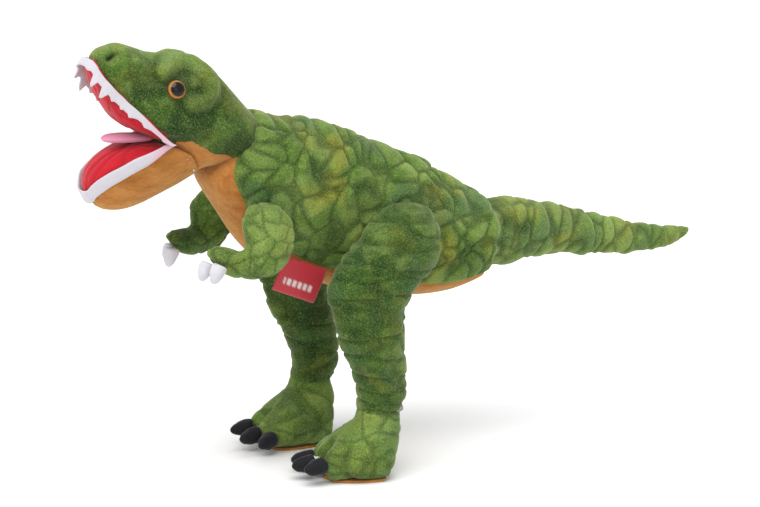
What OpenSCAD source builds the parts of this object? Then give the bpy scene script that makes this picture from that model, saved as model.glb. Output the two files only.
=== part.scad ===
// Stuffed dinosaur: a two-legged meat eater in short plush, standing on its soles.
// Millimetres, Z up, snout toward -X, tail toward +X, its own left side toward -Y.
// Every fabric piece is a shell of one cloth thickness round its own pad of filling.

/* [Overall] */
// Widest part of the trunk, side to side
body_width = 80; // [64:1:96]
// Widest part of the head, side to side
head_width = 66; // [54:1:80]
// Length of the tail behind the hip joint of the tail
tail_length = 187; // [150:1:230]

/* [Cloth and filling] */
// Thickness of the plush cloth
cloth = 2; // [1.2:0.1:2.6]
// Air left between the cloth and its filling
air = 0.3; // [0.2:0.05:0.6]
// Thickness of the smooth red cloth that lines the mouth
lining = 1.5; // [1:0.1:2]
// Thickness of the felt used for gums and teeth
felt = 1.5; // [1:0.1:2]

/* [Limbs] */
// Thickness of the thigh, side to side
thigh = 38; // [30:1:46]
// Room between the trunk and a limb's flat inner side
limb_clear = 2; // [1:0.5:4]
// How far the right foot stands ahead of the left one
right_foot_lead = 7; // [0:1:12]
// Width of one foot across the toes
foot_width = 58; // [48:1:66]
// Thickness of an arm, side to side
arm_width = 27; // [20:1:32]
// How far the right arm hangs lower than the left, in degrees
right_arm_drop = 8; // [0:1:12]

/* [Claws and teeth] */
// Length of a toe claw
toe_claw = 18; // [14:1:22]
// Radius of a toe claw at its base
toe_claw_r = 7.3; // [6:0.1:8]
// Length of a finger claw
hand_claw = 15; // [10:1:18]
// Radius of a finger claw at its base
hand_claw_r = 6; // [4:0.5:7]
// Depth of the upper gum band with its small teeth
gum = 8; // [6:0.5:10]
// Depth of the lower gum band
low_gum = 10; // [6:0.5:12]

/* [Eyes] */
// Diameter of the safety eye
eye_d = 15; // [12:1:18]
// Diameter of the eye's shank
shank_d = 5; // [4:0.5:6]
// Diameter of the lock washer inside the head
washer_d = 16; // [14:1:20]

/* [Label] */
// Width of the sewn-in side label along its seam
label_w = 37; // [28:1:42]
// How far the label hangs from its seam
label_h = 27; // [20:1:32]

/* [Hidden] */
// All sub-parts, one solid each

// Colours, for telling the pieces apart
green = [0.33, 0.48, 0.18];
orange = [0.85, 0.55, 0.22];
red = [0.80, 0.08, 0.12];
white = [0.95, 0.93, 0.93];
pink = [0.95, 0.62, 0.72];
black = [0.08, 0.08, 0.09];
fibre = [0.92, 0.92, 0.90];

trunk_half = body_width / 2;
head_half = head_width / 2;
limb_y = trunk_half + limb_clear;
leg_mid = limb_y + 10;
inside = cloth + air;
snug = 0.4;
seam_gap = 0.4;
around = 24;

// ---- Stations ------------------------------------------------------------
// A station is [top x, top z, bottom x, bottom z, mid y, half width,
// height of the widest line from bottom 0 to top 1, seam angle from the top].

// Neck joint: middle, direction from trunk to head, half height, half width
neck = [-149.5, 262];
neck_dir = [-0.818, 0.576];
neck_h = 26.5;
rim_w = 0.87;
neck_w = rim_w * trunk_half - cloth - 0.8;

// Trunk, neck to tail
root_w = 0.84;
trunk = [for (r = [
    [-127.5, 281.5, -160, 234.5, rim_w],
    [-112, 276.5, -162, 214, 0.93],
    [-92, 273.5, -152, 192, 0.98],
    [-68, 267.5, -135, 169.5, 1],
    [-45, 259.5, -107, 151, 1],
    [-20, 248, -70, 137, 1],
    [6, 238.5, -30, 125.5, 1],
    [29, 223.5, 7, 120.5, 0.97],
    [49, 212, 37, 121.5, 0.92],
    [68, 201.5, 63, 128.5, root_w]])
    [r[0], r[1], r[2], r[3], 0, r[4] * trunk_half, 0.5, 135]];

// Head, snout to neck: the first seven stations end at the roof of the mouth
head = [for (r = [
    [-253.5, 331, -256.5, 323, 0.20, 0.50, 92],
    [-246, 335, -254.5, 316, 0.44, 0.19, 92],
    [-233, 337.7, -249.5, 304, 0.60, 0.16, 92],
    [-217, 332, -242.5, 293, 0.70, 0.17, 92],
    [-203, 328.5, -235, 283.6, 0.79, 0.155, 92],
    [-187, 327, -223.5, 275.5, 0.90, 0.11, 92],
    [-169, 322, -209.5, 266.5, 0.99, 0.075, 94],
    [-154, 307, -184, 237, 1.00, 0.45, 114],
    [-144, 295, -172, 238.5, 0.98, 0.50, 123]])
    [r[0], r[1], r[2], r[3], 0, r[4] * head_half, r[5], r[6]]];
mouth_end = 6;

// Lower jaw, throat to chin
jaw = [for (r = [
    [-205, 260.5, -187, 232, 0.86, 0.96],
    [-217, 259.5, -201, 223.5, 0.85, 0.93],
    [-232, 256.5, -216, 216, 0.79, 0.90],
    [-247, 250, -234, 211.5, 0.68, 0.86],
    [-256, 243, -248, 213, 0.51, 0.84],
    [-260, 235.5, -255, 217, 0.31, 0.78],
    [-261.5, 229.5, -259.5, 223, 0.12, 0.60]])
    [r[0], r[1], r[2], r[3], 0, r[4] * head_half, r[5], 92]];

// Tail, root to tip, stretched to the asked length
tail_root = [79, 166];
tail_reach = tail_length / 189;
tail_w = root_w * trunk_half - cloth - 1.2;
tip_w = 17.2;
function behind(x) = tail_root[0] + (x - tail_root[0]) * tail_reach;
tail_base = [for (r = [
    [79, 197.5, 134.5, tail_w],
    [100, 194, 137.5, 26.5],
    [125, 188, 140, 23],
    [148, 181.5, 139, 20.6],
    [164.5, 176, 135.6, 19.6]])
    [behind(r[0]), r[1], behind(r[0]), r[2], 0, r[3], 0.5, 135]];
tail_tip = [for (r = [
    [172, 173, 136, tip_w],
    [196, 165.5, 133.5, 14.5],
    [222, 159.5, 133, 11.5],
    [244, 155.5, 134, 9],
    [257, 155, 138.5, 7],
    [265, 153.5, 143, 4.2],
    [268, 151, 146.5, 1.8]])
    [behind(r[0]), r[1], behind(r[0]), r[2], 0, r[3], 0.5, 135]];

// Left arm, shoulder to hand: back side, then front side
shoulder = [-138, 204];
arm = [for (r = [
    [-131, 221, -146, 221, 0.50, 0],
    [-119, 214, -157, 215, 0.90, 0],
    [-116, 203, -160, 202, 1, 0],
    [-119, 190, -160, 190, 1, 0],
    [-123, 176, -159, 185.5, 1, 0],
    [-135, 164.5, -161.5, 184.5, 0.97, 1.5],
    [-150, 162, -165, 186.5, 0.92, 5],
    [-163, 163, -172, 189, 0.87, 8.5],
    [-173, 168, -181, 190, 0.76, 11],
    [-181, 177.5, -186.5, 187, 0.42, 12.5]])
    [r[0], r[1], r[2], r[3], -(limb_y + arm_width / 2 - r[5]), r[4] * arm_width / 2, 0.5, 90]];

// Left leg, thigh to ankle: front x, back x, height, inner and outer side
shin = 0.77;
leg = [for (r = [
    [-34, -12, 210, 3, 0.42],
    [-51, -1, 203, 0.5, 0.76],
    [-66, 2, 190, 0, 0.93],
    [-84, 1, 175, 0, 1],
    [-96, -3, 160, 0, 1],
    [-99, -17, 146, 0, 1],
    [-96, -26, 132, 0, 0.98],
    [-91, -28, 115, -1, 0.95],
    [-83, -26, 96, -6, 0.87],
    [-74, -25, 78, -9, 0.81],
    [-70, -26.5, 62, -9.5, 0.78],
    [-69.5, -30.5, 48, -9.5, shin]])
    [r[0], r[2], r[1], r[2], -(limb_y + (r[3] + r[4] * thigh) / 2), (r[4] * thigh - r[3]) / 2, 0.5, 90]];

// Left foot, sole to ankle: front x, back x, height, half width, depth of toe grooves
ankle = [-50, 44];
ankle_r = 19.5 - cloth - 0.2;
ankle_w = (shin * thigh + 9.5) / 2 - cloth - 0.6;
foot_half = foot_width / 2;
sole_t = 2;
foot = [
    [-97, -43, sole_t + air, 0.84, 0.07],
    [-103, -39, 9, 0.97, 0.13],
    [-104, -36.5, 17, 1, 0.15],
    [-98, -34.5, 25, 0.92, 0.13],
    [-85, -33.4, 33, 0.80, 0.06],
    [-73.5, -32.9, 39.5, 0.68, 0.02],
    [ankle[0] - ankle_r, ankle[0] + ankle_r, ankle[1], ankle_w / foot_half, 0]];

// ---- Shapes from stations --------------------------------------------------

// Smooth curve through station i and the next, at t from 0 to 1
function through(p, i, t) =
    let (a = p[max(i - 1, 0)], b = p[i], c = p[i + 1], d = p[min(i + 2, len(p) - 1)])
    0.5 * (2 * b + (c - a) * t + (2 * a - 5 * b + 4 * c - d) * t * t
        + (3 * b - a - 3 * c + d) * t * t * t);

// k stations in place of each one, and the last
function fine(p, k) =
    [for (i = [0 : len(p) - 2], j = [0 : k - 1]) through(p, i, j / k), p[len(p) - 1]];

function part_of(p, first, last) = [for (i = [first : last]) p[i]];
function back_to_front(p) = [for (i = [len(p) - 1 : -1 : 0]) p[i]];
function middle(r) = [(r[0] + r[2]) / 2, (r[1] + r[3]) / 2];
function height(r) = norm([r[0] - r[2], r[1] - r[3]]);

// The stations moved inward by d, square to the surface
function inset(p, d) = [for (i = [0 : len(p) - 1])
    let (r = p[i],
        q0 = p[max(i - 1, 0)],
        q1 = p[min(i + 1, len(p) - 1)],
        run = middle(q1) - middle(q0),
        slope = (height(q1) - height(q0)) / 2 / norm(run),
        k = d / sqrt(1 + slope * slope),
        e = [r[0] - r[2], r[1] - r[3]] / height(r) * k,
        g = run / norm(run) * slope * k)
    [r[0] - e[0] + g[0], r[1] - e[1] + g[1], r[2] + e[0] + g[0], r[3] + e[1] + g[1],
        r[4], r[5] - k, r[6], r[7]]];

// Stations of a round end on station r: it runs along dir, reach deep,
// and takes in the angles given, 90 being its pole
function round_end(r, dir, reach, angles) = [for (a = angles)
    let (m = middle(r), u = [r[0] - r[2], r[1] - r[3]] / 2 * cos(a), c = m + dir * reach * sin(a))
    [c[0] + u[0], c[1] + u[1], c[0] - u[0], c[1] - u[1], r[4], r[5] * cos(a), 0.5, r[7]]];

// Point of a station at angle t from its top
function on_ring(r, t) =
    let (u = [r[0] - r[2], r[1] - r[3]],
        c = [r[2], r[3]] + u * r[6],
        k = (cos(t) > 0 ? 1 - r[6] : r[6]) * cos(t))
    [c[0] + u[0] * k, r[4] + r[5] * sin(t), c[1] + u[1] * k];

// Closed rings, arcs over the top and arcs under the bottom
function rings(p) = [for (r = p) [for (j = [0 : around - 1]) on_ring(r, 360 * j / around)]];
function arc_pts(r, from, to, n) = [for (j = [0 : n]) on_ring(r, from + (to - from) * j / n)];
function over(p, d, n) = [for (i = [0 : len(p) - 1])
    let (r = p[i], q = inset(p, d)[i], s = r[7] - seam_gap)
    concat(arc_pts(r, -s, s, n), back_to_front(arc_pts(q, -s, s, n)))];
function under(p, d, n) = [for (i = [0 : len(p) - 1])
    let (r = p[i], q = inset(p, d)[i], s = r[7] + seam_gap)
    concat(arc_pts(r, s, 360 - s, n), back_to_front(arc_pts(q, s, 360 - s, n)))];

// One solid through the rings. ends: "fan" closes both end rings, "strip"
// closes the ends of a bent sheet, "loop" joins the last ring to the first
module loft(g, ends = "fan") {
    n = len(g[0]);
    m = len(g);
    rows = ends == "loop" ? m : m - 1;
    sides = [for (i = [0 : rows - 1], j = [0 : n - 1])
        let (a = i * n + j, b = i * n + (j + 1) % n, c = ((i + 1) % m) * n + (j + 1) % n,
            d = ((i + 1) % m) * n + j)
        each [[a, c, b], [a, d, c]]];
    fans = [[for (j = [0 : n - 1]) j], [for (j = [n - 1 : -1 : 0]) (m - 1) * n + j]];
    last = (m - 1) * n;
    strips = [for (j = [0 : n / 2 - 2])
        let (a = j, b = j + 1, c = n - 2 - j, d = n - 1 - j)
        each [[a, b, c], [a, c, d], [last + a, last + c, last + b], [last + a, last + d, last + c]]];
    polyhedron([for (r = g) each r],
        ends == "fan" ? concat(sides, fans) : ends == "strip" ? concat(sides, strips) : sides,
        convexity = 6);
}

// A cloth cup closed at its first station and open at its last
module cup(p) {
    loft(concat(rings(p), back_to_front(rings(inset(p, cloth)))));
}

// A cloth tube open at both ends
module tube(p) {
    loft(concat(rings(p), back_to_front(rings(inset(p, cloth)))), "loop");
}

module pad(p) {
    loft(rings(p));
}

module right_side() {
    mirror([0, 1, 0]) children();
}

// A soft claw: a cone with a round tip, its base at the origin, pointing along +Z
module claw(r, long) {
    tip = r * 0.38;
    rotate_extrude($fn = 48)
        polygon(concat([[0, 0], [r * 0.9, 0], [r, long * 0.12], [r * 0.93, long * 0.4],
            [r * 0.68, long * 0.75]],
            [for (a = [20 : 14 : 90]) [tip * cos(a) * 1.15, long - tip + tip * sin(a)]]));
}

// ---- Trunk -----------------------------------------------------------------
trunk_fine = fine(trunk, 2);

module torso_skin() {
    color(green) loft(over(trunk_fine, cloth, 18), "strip");
}

module belly_panel() {
    color(orange) loft(under(trunk_fine, cloth, 7), "strip");
}

// The filling stops short of the round ends of the head and the tail
module torso_filling() {
    color(fibre) pad(inset(part_of(trunk_fine, 3, 16), inside + snug));
}

// The label hangs from the belly seam between arm and thigh
label_t = 0.8;
label_row = 8;
module side_label() {
    seam = on_ring(trunk_fine[label_row], 360 - trunk_fine[label_row][7]);
    next = on_ring(trunk_fine[label_row + 1], 360 - trunk_fine[label_row][7]);
    lean = atan2(seam[2] - next[2], next[0] - seam[0]);
    color(red) translate([seam[0], seam[1] - 1.2, seam[2]]) rotate([0, lean, 0])
        translate([-label_w / 2, -label_t, -label_h - 2]) cube([label_w, label_t, label_h]);
}

// ---- Head --------------------------------------------------------------------
neck_row = [neck[0] + neck_dir[1] * neck_h, neck[1] - neck_dir[0] * neck_h,
    neck[0] - neck_dir[1] * neck_h, neck[1] + neck_dir[0] * neck_h, 0, neck_w, 0.5, 126];
head_fine = fine(concat(head, [neck_row]), 2);
mouth_row = 2 * mouth_end;
neck_open = round_end(neck_row, -neck_dir, neck_h, [22, 42, 60]);
neck_full = round_end(neck_row, -neck_dir, neck_h, [22, 42, 60, 80]);

eye_angle = 60;
eye_lean = 18;
eye_lift = 0.9;
eye_at = on_ring(through(head, mouth_end - 1, 0.22), -eye_angle);
shank_l = 13;
washer_t = 2;
washer_in = cloth + 2.2;

// Places a thing at the left eye, +Z pointing out of the head
module at_left_eye() {
    translate(eye_at) rotate([90 - eye_lean, 0, 0]) translate([0, 0, eye_lift]) children();
}

module shank_holes() {
    at_left_eye() translate([0, 0, -shank_l - 3]) cylinder(h = shank_l + 6, d = shank_d + 0.6, $fn = 48);
}

module washer_rooms() {
    at_left_eye() translate([0, 0, -shank_l - 1.5]) cylinder(h = shank_l + 12, d = washer_d + 1, $fn = 64);
}

head_open = concat(head_fine, neck_open);

module head_skin() {
    color(green) difference() {
        loft(over(head_open, cloth, 18), "strip");
        shank_holes();
        right_side() shank_holes();
    }
}

module throat_panel() {
    color(orange) loft(part_of(under(head_open, cloth, 8), mouth_row + 1, len(head_open) - 1), "strip");
}

module palate_lining() {
    color(red) loft(part_of(under(head_open, lining, 10), 0, mouth_row), "strip");
}

module head_filling() {
    color(fibre) difference() {
        pad(inset(concat(head_fine, neck_full), inside + snug));
        washer_rooms();
        right_side() washer_rooms();
    }
}

module eye() {
    at_left_eye() {
        rotate_extrude($fn = 64)
            polygon(concat([[0, 0], [eye_d / 2 - 0.4, 0], [eye_d / 2, 0.5], [eye_d / 2, 1]],
                [for (a = [10 : 10 : 90]) [eye_d / 2 * cos(a), 1 + eye_d * 0.27 * sin(a)]]));
        translate([0, 0, -shank_l]) cylinder(h = shank_l + 0.5, d = shank_d, $fn = 48);
    }
}

module left_eye() {
    color(black) eye();
}

module right_eye() {
    color(black) right_side() eye();
}

module washer() {
    at_left_eye() translate([0, 0, -washer_in - washer_t]) difference() {
        cylinder(h = washer_t, d = washer_d, $fn = 64);
        translate([0, 0, -1]) cylinder(h = washer_t + 2, d = shank_d + 0.1, $fn = 48);
    }
}

module left_eye_washer() {
    color(white) washer();
}

module right_eye_washer() {
    color(white) right_side() washer();
}

// ---- Gums: felt bands sewn along the two lips --------------------------------

// The lip of stations first to last, left side, round the front, right side
function lip(p, first, last) = concat(
    [for (i = [last : -1 : first]) on_ring(p[i], 270)],
    [for (i = [first : last]) on_ring(p[i], 90)]);
function unit(v) = v / norm(v);

// A band along the lip: outward offset, thickness, and two edges along the
// direction down, the far one from the list of depths
module band(path, down, near, depths) {
    n = len(path);
    loft([for (i = [0 : n - 1])
        let (run = path[min(i + 1, n - 1)] - path[max(i - 1, 0)],
            out = unit(cross(run, down)),
            a = path[i] + out * stand_off,
            b = path[i] + out * (stand_off + felt))
        [a + down * near, b + down * near, b + down * depths[i], a + down * depths[i]]]);
}

stand_off = 1.6;
upper_down = unit([-0.59, 0, -0.81]);
upper_path = fine(lip(head_fine, 1, mouth_row - 1), 3);
fang = 5;
notch = 1.6;
// Small teeth all along, and two fangs a side near the front
function tooth_depth(i, n) =
    let (from_front = abs(i - (n - 1) / 2))
    gum * (from_front > n * 0.36 ? 0.7 : 0.85) + (i % 4 == 2 ? notch : 0)
        + (abs(from_front - 5) < 1.2 || abs(from_front - 10) < 1.2 ? fang : 0);

module upper_gum() {
    n = len(upper_path);
    color(white) band(upper_path, upper_down, 0.5, [for (i = [0 : n - 1]) tooth_depth(i, n)]);
}

jaw_fine = fine(jaw, 2);
lower_down = unit([0.42, 0, -0.9]);
lower_path = fine(lip(back_to_front(jaw_fine), 1, 2 * (len(jaw) - 1) - 1), 3);

module lower_gum() {
    n = len(lower_path);
    color(white) band(lower_path, lower_down, -0.35 * low_gum, [for (i = [0 : n - 1])
        0.65 * low_gum - 3 * abs(i - (n - 1) / 2) / n]);
}

// ---- Lower jaw and tongue -------------------------------------------------------
module jaw_skin() {
    color(orange) loft(under(jaw_fine, cloth, 14), "strip");
}

module jaw_lining() {
    color(red) loft(over(jaw_fine, lining, 10), "strip");
}

module jaw_filling() {
    color(fibre) pad(inset(jaw_fine, inside));
}

// A flat rounded tab: x, height, half width, half thickness
module tongue() {
    rows = [for (r = [[-211.5, 265, 8, 1.7], [-217, 265.5, 10, 2.2], [-226, 266, 12, 2.5],
        [-236, 266.5, 11, 2.5], [-243, 266.5, 7.5, 2.2], [-246.5, 266.5, 3, 1.2]])
        [r[0], r[1] + r[3], r[0], r[1] - r[3], 0, r[2], 0.5, 90]];
    color(pink) loft(rings(fine(rows, 2)));
}

// ---- Tail -------------------------------------------------------------------------
base_fine = fine(tail_base, 2);
tip_fine = fine(tail_tip, 2);
base_join = round_end(tail_base[0], [-1, 0], tail_w, [60, 40, 20]);
tip_join = round_end(tail_tip[0], [-1, 0], tip_w, [60, 40, 20]);
base_nose = round_end(tail_base[0], [-1, 0], tail_w, [80, 60, 40, 20]);
tip_nose = round_end(tail_tip[0], [-1, 0], tip_w, [80, 60, 40, 20]);

module tail_base_skin() {
    color(green) tube(concat(base_join, base_fine));
}

// Stops short of the round end of the tail tip
module tail_base_filling() {
    color(fibre) pad(inset(concat(base_nose, part_of(base_fine, 0, len(base_fine) - 3)), inside));
}

module tail_tip_skin() {
    color(green) cup(back_to_front(concat(tip_join, tip_fine)));
}

module tail_tip_filling() {
    color(fibre) pad(inset(concat(tip_nose, part_of(tip_fine, 0, len(tip_fine) - 2)), inside));
}

// ---- Arms -----------------------------------------------------------------------------
arm_fine = arm;

module arm_skin() {
    cup(back_to_front(arm_fine));
}

module arm_filling() {
    pad(inset(part_of(arm_fine, 1, len(arm_fine) - 1), inside + snug));
}

// side is -1 for the inner claw and 1 for the outer one
module finger_claw(side) {
    translate([-182.5 + 2 * side, -(limb_y + arm_width / 2 - 10 + side * hand_claw_r * 1.06), 171.5])
        rotate([0, 180 + 24, 0]) claw(hand_claw_r, hand_claw);
}

// Turns the mirrored arm down about its shoulder
module right_arm() {
    translate([shoulder[0], 0, shoulder[1]]) rotate([0, -right_arm_drop, 0])
        translate([-shoulder[0], 0, -shoulder[1]]) right_side() children();
}

module left_arm_skin() {
    color(green) arm_skin();
}

module left_arm_filling() {
    color(fibre) arm_filling();
}

module left_inner_finger_claw() {
    color(white) finger_claw(-1);
}

module left_outer_finger_claw() {
    color(white) finger_claw(1);
}

module right_arm_skin() {
    color(green) right_arm() arm_skin();
}

module right_arm_filling() {
    color(fibre) right_arm() arm_filling();
}

module right_inner_finger_claw() {
    color(white) right_arm() finger_claw(-1);
}

module right_outer_finger_claw() {
    color(white) right_arm() finger_claw(1);
}

// ---- Legs -----------------------------------------------------------------------------
// The right leg steps forward from the hip, so each of its levels shifts by this share
hip_z = 170;
module right_leg() {
    step = right_foot_lead / (hip_z - leg[len(leg) - 1][1]);
    multmatrix([[1, 0, step, -step * hip_z], [0, 1, 0, 0], [0, 0, 1, 0], [0, 0, 0, 1]])
        right_side() children();
}

module right_foot() {
    translate([-right_foot_lead, 0, 0]) right_side() children();
}

module leg_skin() {
    cup(leg);
}

// Stops short of the round top of the foot
module leg_filling() {
    pad(inset(part_of(leg, 0, 10), inside));
}

module left_leg_skin() {
    color(green) leg_skin();
}

module left_leg_filling() {
    color(fibre) leg_filling();
}

module right_leg_skin() {
    color(green) right_leg() leg_skin();
}

module right_leg_filling() {
    color(fibre) right_leg() leg_filling();
}

// ---- Feet ---------------------------------------------------------------------------------
toe_spread = 32;
// How far the toes turn inward, in degrees
toe_in = 10;
foot_around = 36;
claw_z = 11.5;
toe_lift = [3, 1, 0];
foot_cap = [20, 40, 60, 80];

// Outline of a foot station moved inward by d; the grooves lie between three toes
function foot_ring(r, d) = [for (j = [0 : foot_around - 1])
    let (t = 360 * j / foot_around,
        a = t > 180 ? t - 360 : t,
        groove = abs(a) < toe_spread ? r[4] * (0.5 - 0.5 * cos(360 * a / toe_spread)) : 0,
        mid = ankle[0],
        long = cos(a) > 0 ? mid - r[0] : r[1] - mid,
        n = 2 + 5 * r[4],
        square = cos(a) > 0 ? pow(pow(cos(a), n) + pow(abs(sin(a)), n), -1 / n) : 1,
        k = (1 - groove) * square)
    [mid - cos(a) * (long * k - d), -(leg_mid) + sin(a) * (r[3] * foot_half * k - d), r[2]]];
// The round top of the foot, which the ankle of the leg turns on
function foot_top(d, angles) = [for (a = angles)
    [for (j = [0 : foot_around - 1])
        let (t = 360 * j / foot_around)
        [ankle[0] - cos(t) * (ankle_r - d) * cos(a),
            -leg_mid + sin(t) * (ankle_w - d) * cos(a),
            ankle[1] + (ankle_r - d) * sin(a)]]];

// Turns the whole foot about its ankle
module turn_foot() {
    translate([ankle[0], -leg_mid, 0]) rotate([0, 0, -toe_in])
        translate([-ankle[0], leg_mid, 0]) children();
}

module foot_skin() {
    out = concat([for (r = foot) foot_ring(r, 0)], foot_top(0, foot_cap));
    in = concat([for (r = foot) foot_ring(r, cloth)], foot_top(cloth, foot_cap));
    turn_foot() loft(concat(back_to_front(out), in));
}

module foot_filling() {
    low = foot[0] + [0, 0, inside, 0, 0];
    turn_foot() loft(back_to_front(concat([foot_ring(low, inside + 2 * snug)],
        [for (i = [1 : len(foot) - 1]) foot_ring(foot[i], inside + 2 * snug)],
        foot_top(inside + 2 * snug, foot_cap))));
}

module sole() {
    turn_foot() linear_extrude(sole_t)
        polygon([for (p = foot_ring(foot[0], 0)) [p[0], p[1]]]);
}

// side is -1 for the inner toe, 0 for the middle one and 1 for the outer one
module toe_claw_at(side) {
    tip = foot_ring(foot[2], -0.8)[(round(side * toe_spread * foot_around / 360) + foot_around) % foot_around];
    turn_foot() translate([tip[0], tip[1], claw_z + toe_lift[side + 1]])
        rotate([0, 0, -side * 18]) rotate([0, -96, 0]) claw(toe_claw_r, toe_claw);
}

module left_foot_skin() {
    color(green) foot_skin();
}

module left_foot_filling() {
    color(fibre) foot_filling();
}

module left_sole() {
    color(orange) sole();
}

module left_inner_toe_claw() {
    color(black) toe_claw_at(-1);
}

module left_middle_toe_claw() {
    color(black) toe_claw_at(0);
}

module left_outer_toe_claw() {
    color(black) toe_claw_at(1);
}

module right_foot_skin() {
    color(green) right_foot() foot_skin();
}

module right_foot_filling() {
    color(fibre) right_foot() foot_filling();
}

module right_sole() {
    color(orange) right_foot() sole();
}

module right_inner_toe_claw() {
    color(black) right_foot() toe_claw_at(-1);
}

module right_middle_toe_claw() {
    color(black) right_foot() toe_claw_at(0);
}

module right_outer_toe_claw() {
    color(black) right_foot() toe_claw_at(1);
}

torso_skin();
belly_panel();
torso_filling();
side_label();
head_skin();
throat_panel();
palate_lining();
head_filling();
upper_gum();
left_eye();
right_eye();
left_eye_washer();
right_eye_washer();
jaw_skin();
jaw_lining();
jaw_filling();
lower_gum();
tongue();
tail_base_skin();
tail_base_filling();
tail_tip_skin();
tail_tip_filling();
left_arm_skin();
left_arm_filling();
left_inner_finger_claw();
left_outer_finger_claw();
right_arm_skin();
right_arm_filling();
right_inner_finger_claw();
right_outer_finger_claw();
left_leg_skin();
left_leg_filling();
right_leg_skin();
right_leg_filling();
left_foot_skin();
left_foot_filling();
left_sole();
left_inner_toe_claw();
left_middle_toe_claw();
left_outer_toe_claw();
right_foot_skin();
right_foot_filling();
right_sole();
right_inner_toe_claw();
right_middle_toe_claw();
right_outer_toe_claw();
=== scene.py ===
# %% [markdown]
# # A stuffed dinosaur, sewn piece by piece
# A plush dinosaur is a set of cloth covers, each one stuffed with fibre and sewn to the next.
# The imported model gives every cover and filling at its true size. This lesson turns those plain
# solids into puffed, creased, printed plush. The shoulders, hips and chest end up a little off
# their solids, and the claws and soles come out smaller than theirs.

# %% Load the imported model
import math
import bmesh
import bpy
import numpy as np
from mathutils import Matrix, Vector, noise
from mathutils.bvhtree import BVHTree


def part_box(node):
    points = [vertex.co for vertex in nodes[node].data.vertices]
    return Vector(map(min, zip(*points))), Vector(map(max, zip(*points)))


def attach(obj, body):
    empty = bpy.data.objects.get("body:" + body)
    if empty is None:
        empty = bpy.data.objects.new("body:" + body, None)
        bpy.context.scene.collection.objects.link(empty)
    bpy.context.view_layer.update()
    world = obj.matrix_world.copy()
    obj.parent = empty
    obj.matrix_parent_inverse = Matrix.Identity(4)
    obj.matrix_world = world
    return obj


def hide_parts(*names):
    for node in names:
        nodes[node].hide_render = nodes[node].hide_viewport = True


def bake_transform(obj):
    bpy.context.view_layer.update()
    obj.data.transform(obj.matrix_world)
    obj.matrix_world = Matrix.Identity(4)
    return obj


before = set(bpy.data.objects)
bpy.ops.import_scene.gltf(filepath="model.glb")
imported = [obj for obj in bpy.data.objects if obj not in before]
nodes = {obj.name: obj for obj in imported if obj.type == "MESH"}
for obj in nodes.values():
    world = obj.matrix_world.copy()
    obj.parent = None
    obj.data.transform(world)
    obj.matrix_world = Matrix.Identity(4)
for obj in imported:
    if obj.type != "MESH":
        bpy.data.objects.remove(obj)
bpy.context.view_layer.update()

noise.seed_set(7)  # noise vectors are drawn from this state, so every run gives the same scales
MM = 0.001
WELD = 1e-5  # metres: points closer than this are one point

# %% [markdown]
# ## Camera, floor and light
# The toy stands on a white sheet, lit by big soft lights from above and from both sides, so that
# the shadows stay pale and the pile keeps its colour. A long lens keeps the shape free of stretch.

# %% Set up the studio
def look_from(azimuth, elevation, distance, aim):
    a, e = math.radians(azimuth), math.radians(elevation)
    back = Vector((math.sin(a) * math.cos(e), -math.cos(a) * math.cos(e), math.sin(e)))
    return Vector(aim) + back * distance, (-back).to_track_quat("-Z", "Y")


lens = bpy.data.cameras.new("studio_camera")
lens.lens = 123
lens.sensor_width = 36
camera = bpy.data.objects.new("studio_camera", lens)
bpy.context.scene.collection.objects.link(camera)
camera.rotation_mode = "QUATERNION"
camera.location, camera.rotation_quaternion = look_from(-27, 13, 2.0, (-0.0215, 0, 0.158))
bpy.context.scene.camera = camera


def soft_light(name, azimuth, elevation, distance, size, power):
    data = bpy.data.lights.new(name, "AREA")
    data.shape = "DISK"
    data.size = size
    data.energy = power
    light = bpy.data.objects.new(name, data)
    bpy.context.scene.collection.objects.link(light)
    light.rotation_mode = "QUATERNION"
    light.location, light.rotation_quaternion = look_from(azimuth, elevation, distance, (-0.02, 0, 0.16))


soft_light("left_light", -85, 40, 1.6, 0.9, 4)
soft_light("front_light", -5, 25, 2.2, 1.0, 2)
soft_light("back_light", 150, 45, 1.8, 1.0, 6)
sky = bpy.data.objects.new("roof_light", bpy.data.lights.new("roof_light", "SUN"))
sky.data.energy = 2.3
sky.data.angle = math.radians(50)
sky.rotation_mode = "QUATERNION"
sky.rotation_quaternion = look_from(-35, 66, 2, (0, 0, 0))[1]
bpy.context.scene.collection.objects.link(sky)

world = bpy.data.worlds.new("pale_room")
bpy.context.scene.world = world
world.use_nodes = True
world.node_tree.nodes["Background"].inputs[0].default_value = (0.97, 0.98, 1.0, 1)
world.node_tree.nodes["Background"].inputs[1].default_value = 0.62
bpy.context.scene.view_settings.view_transform = "Standard"


def clear_choice():
    if bpy.context.object and bpy.context.object.mode != "OBJECT":
        bpy.ops.object.mode_set(mode="OBJECT")
    bpy.ops.object.select_all(action="DESELECT")


def choose(obj):
    clear_choice()
    obj.select_set(True)
    bpy.context.view_layer.objects.active = obj
    return obj


clear_choice()
bpy.ops.mesh.primitive_plane_add(size=60, location=(0, 0, 0))
floor = bpy.context.object
floor.name = "floor_sheet"
bpy.ops.object.transform_apply(location=True, rotation=True, scale=True)
paper = bpy.data.materials.new("floor_paper")
paper.use_nodes = True
paper.node_tree.nodes["Principled BSDF"].inputs["Base Color"].default_value = (0.93, 0.93, 0.93, 1)
paper.node_tree.nodes["Principled BSDF"].inputs["Roughness"].default_value = 0.9
floor.data.materials.append(paper)

# %% [markdown]
# ## Small helpers for nodes
# Every finish is a node tree on Object coordinates, so a pattern stays on the cloth when the toy
# moves. These helpers keep the trees short: one adds a node, one adds noise, one adds a ramp.

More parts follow.
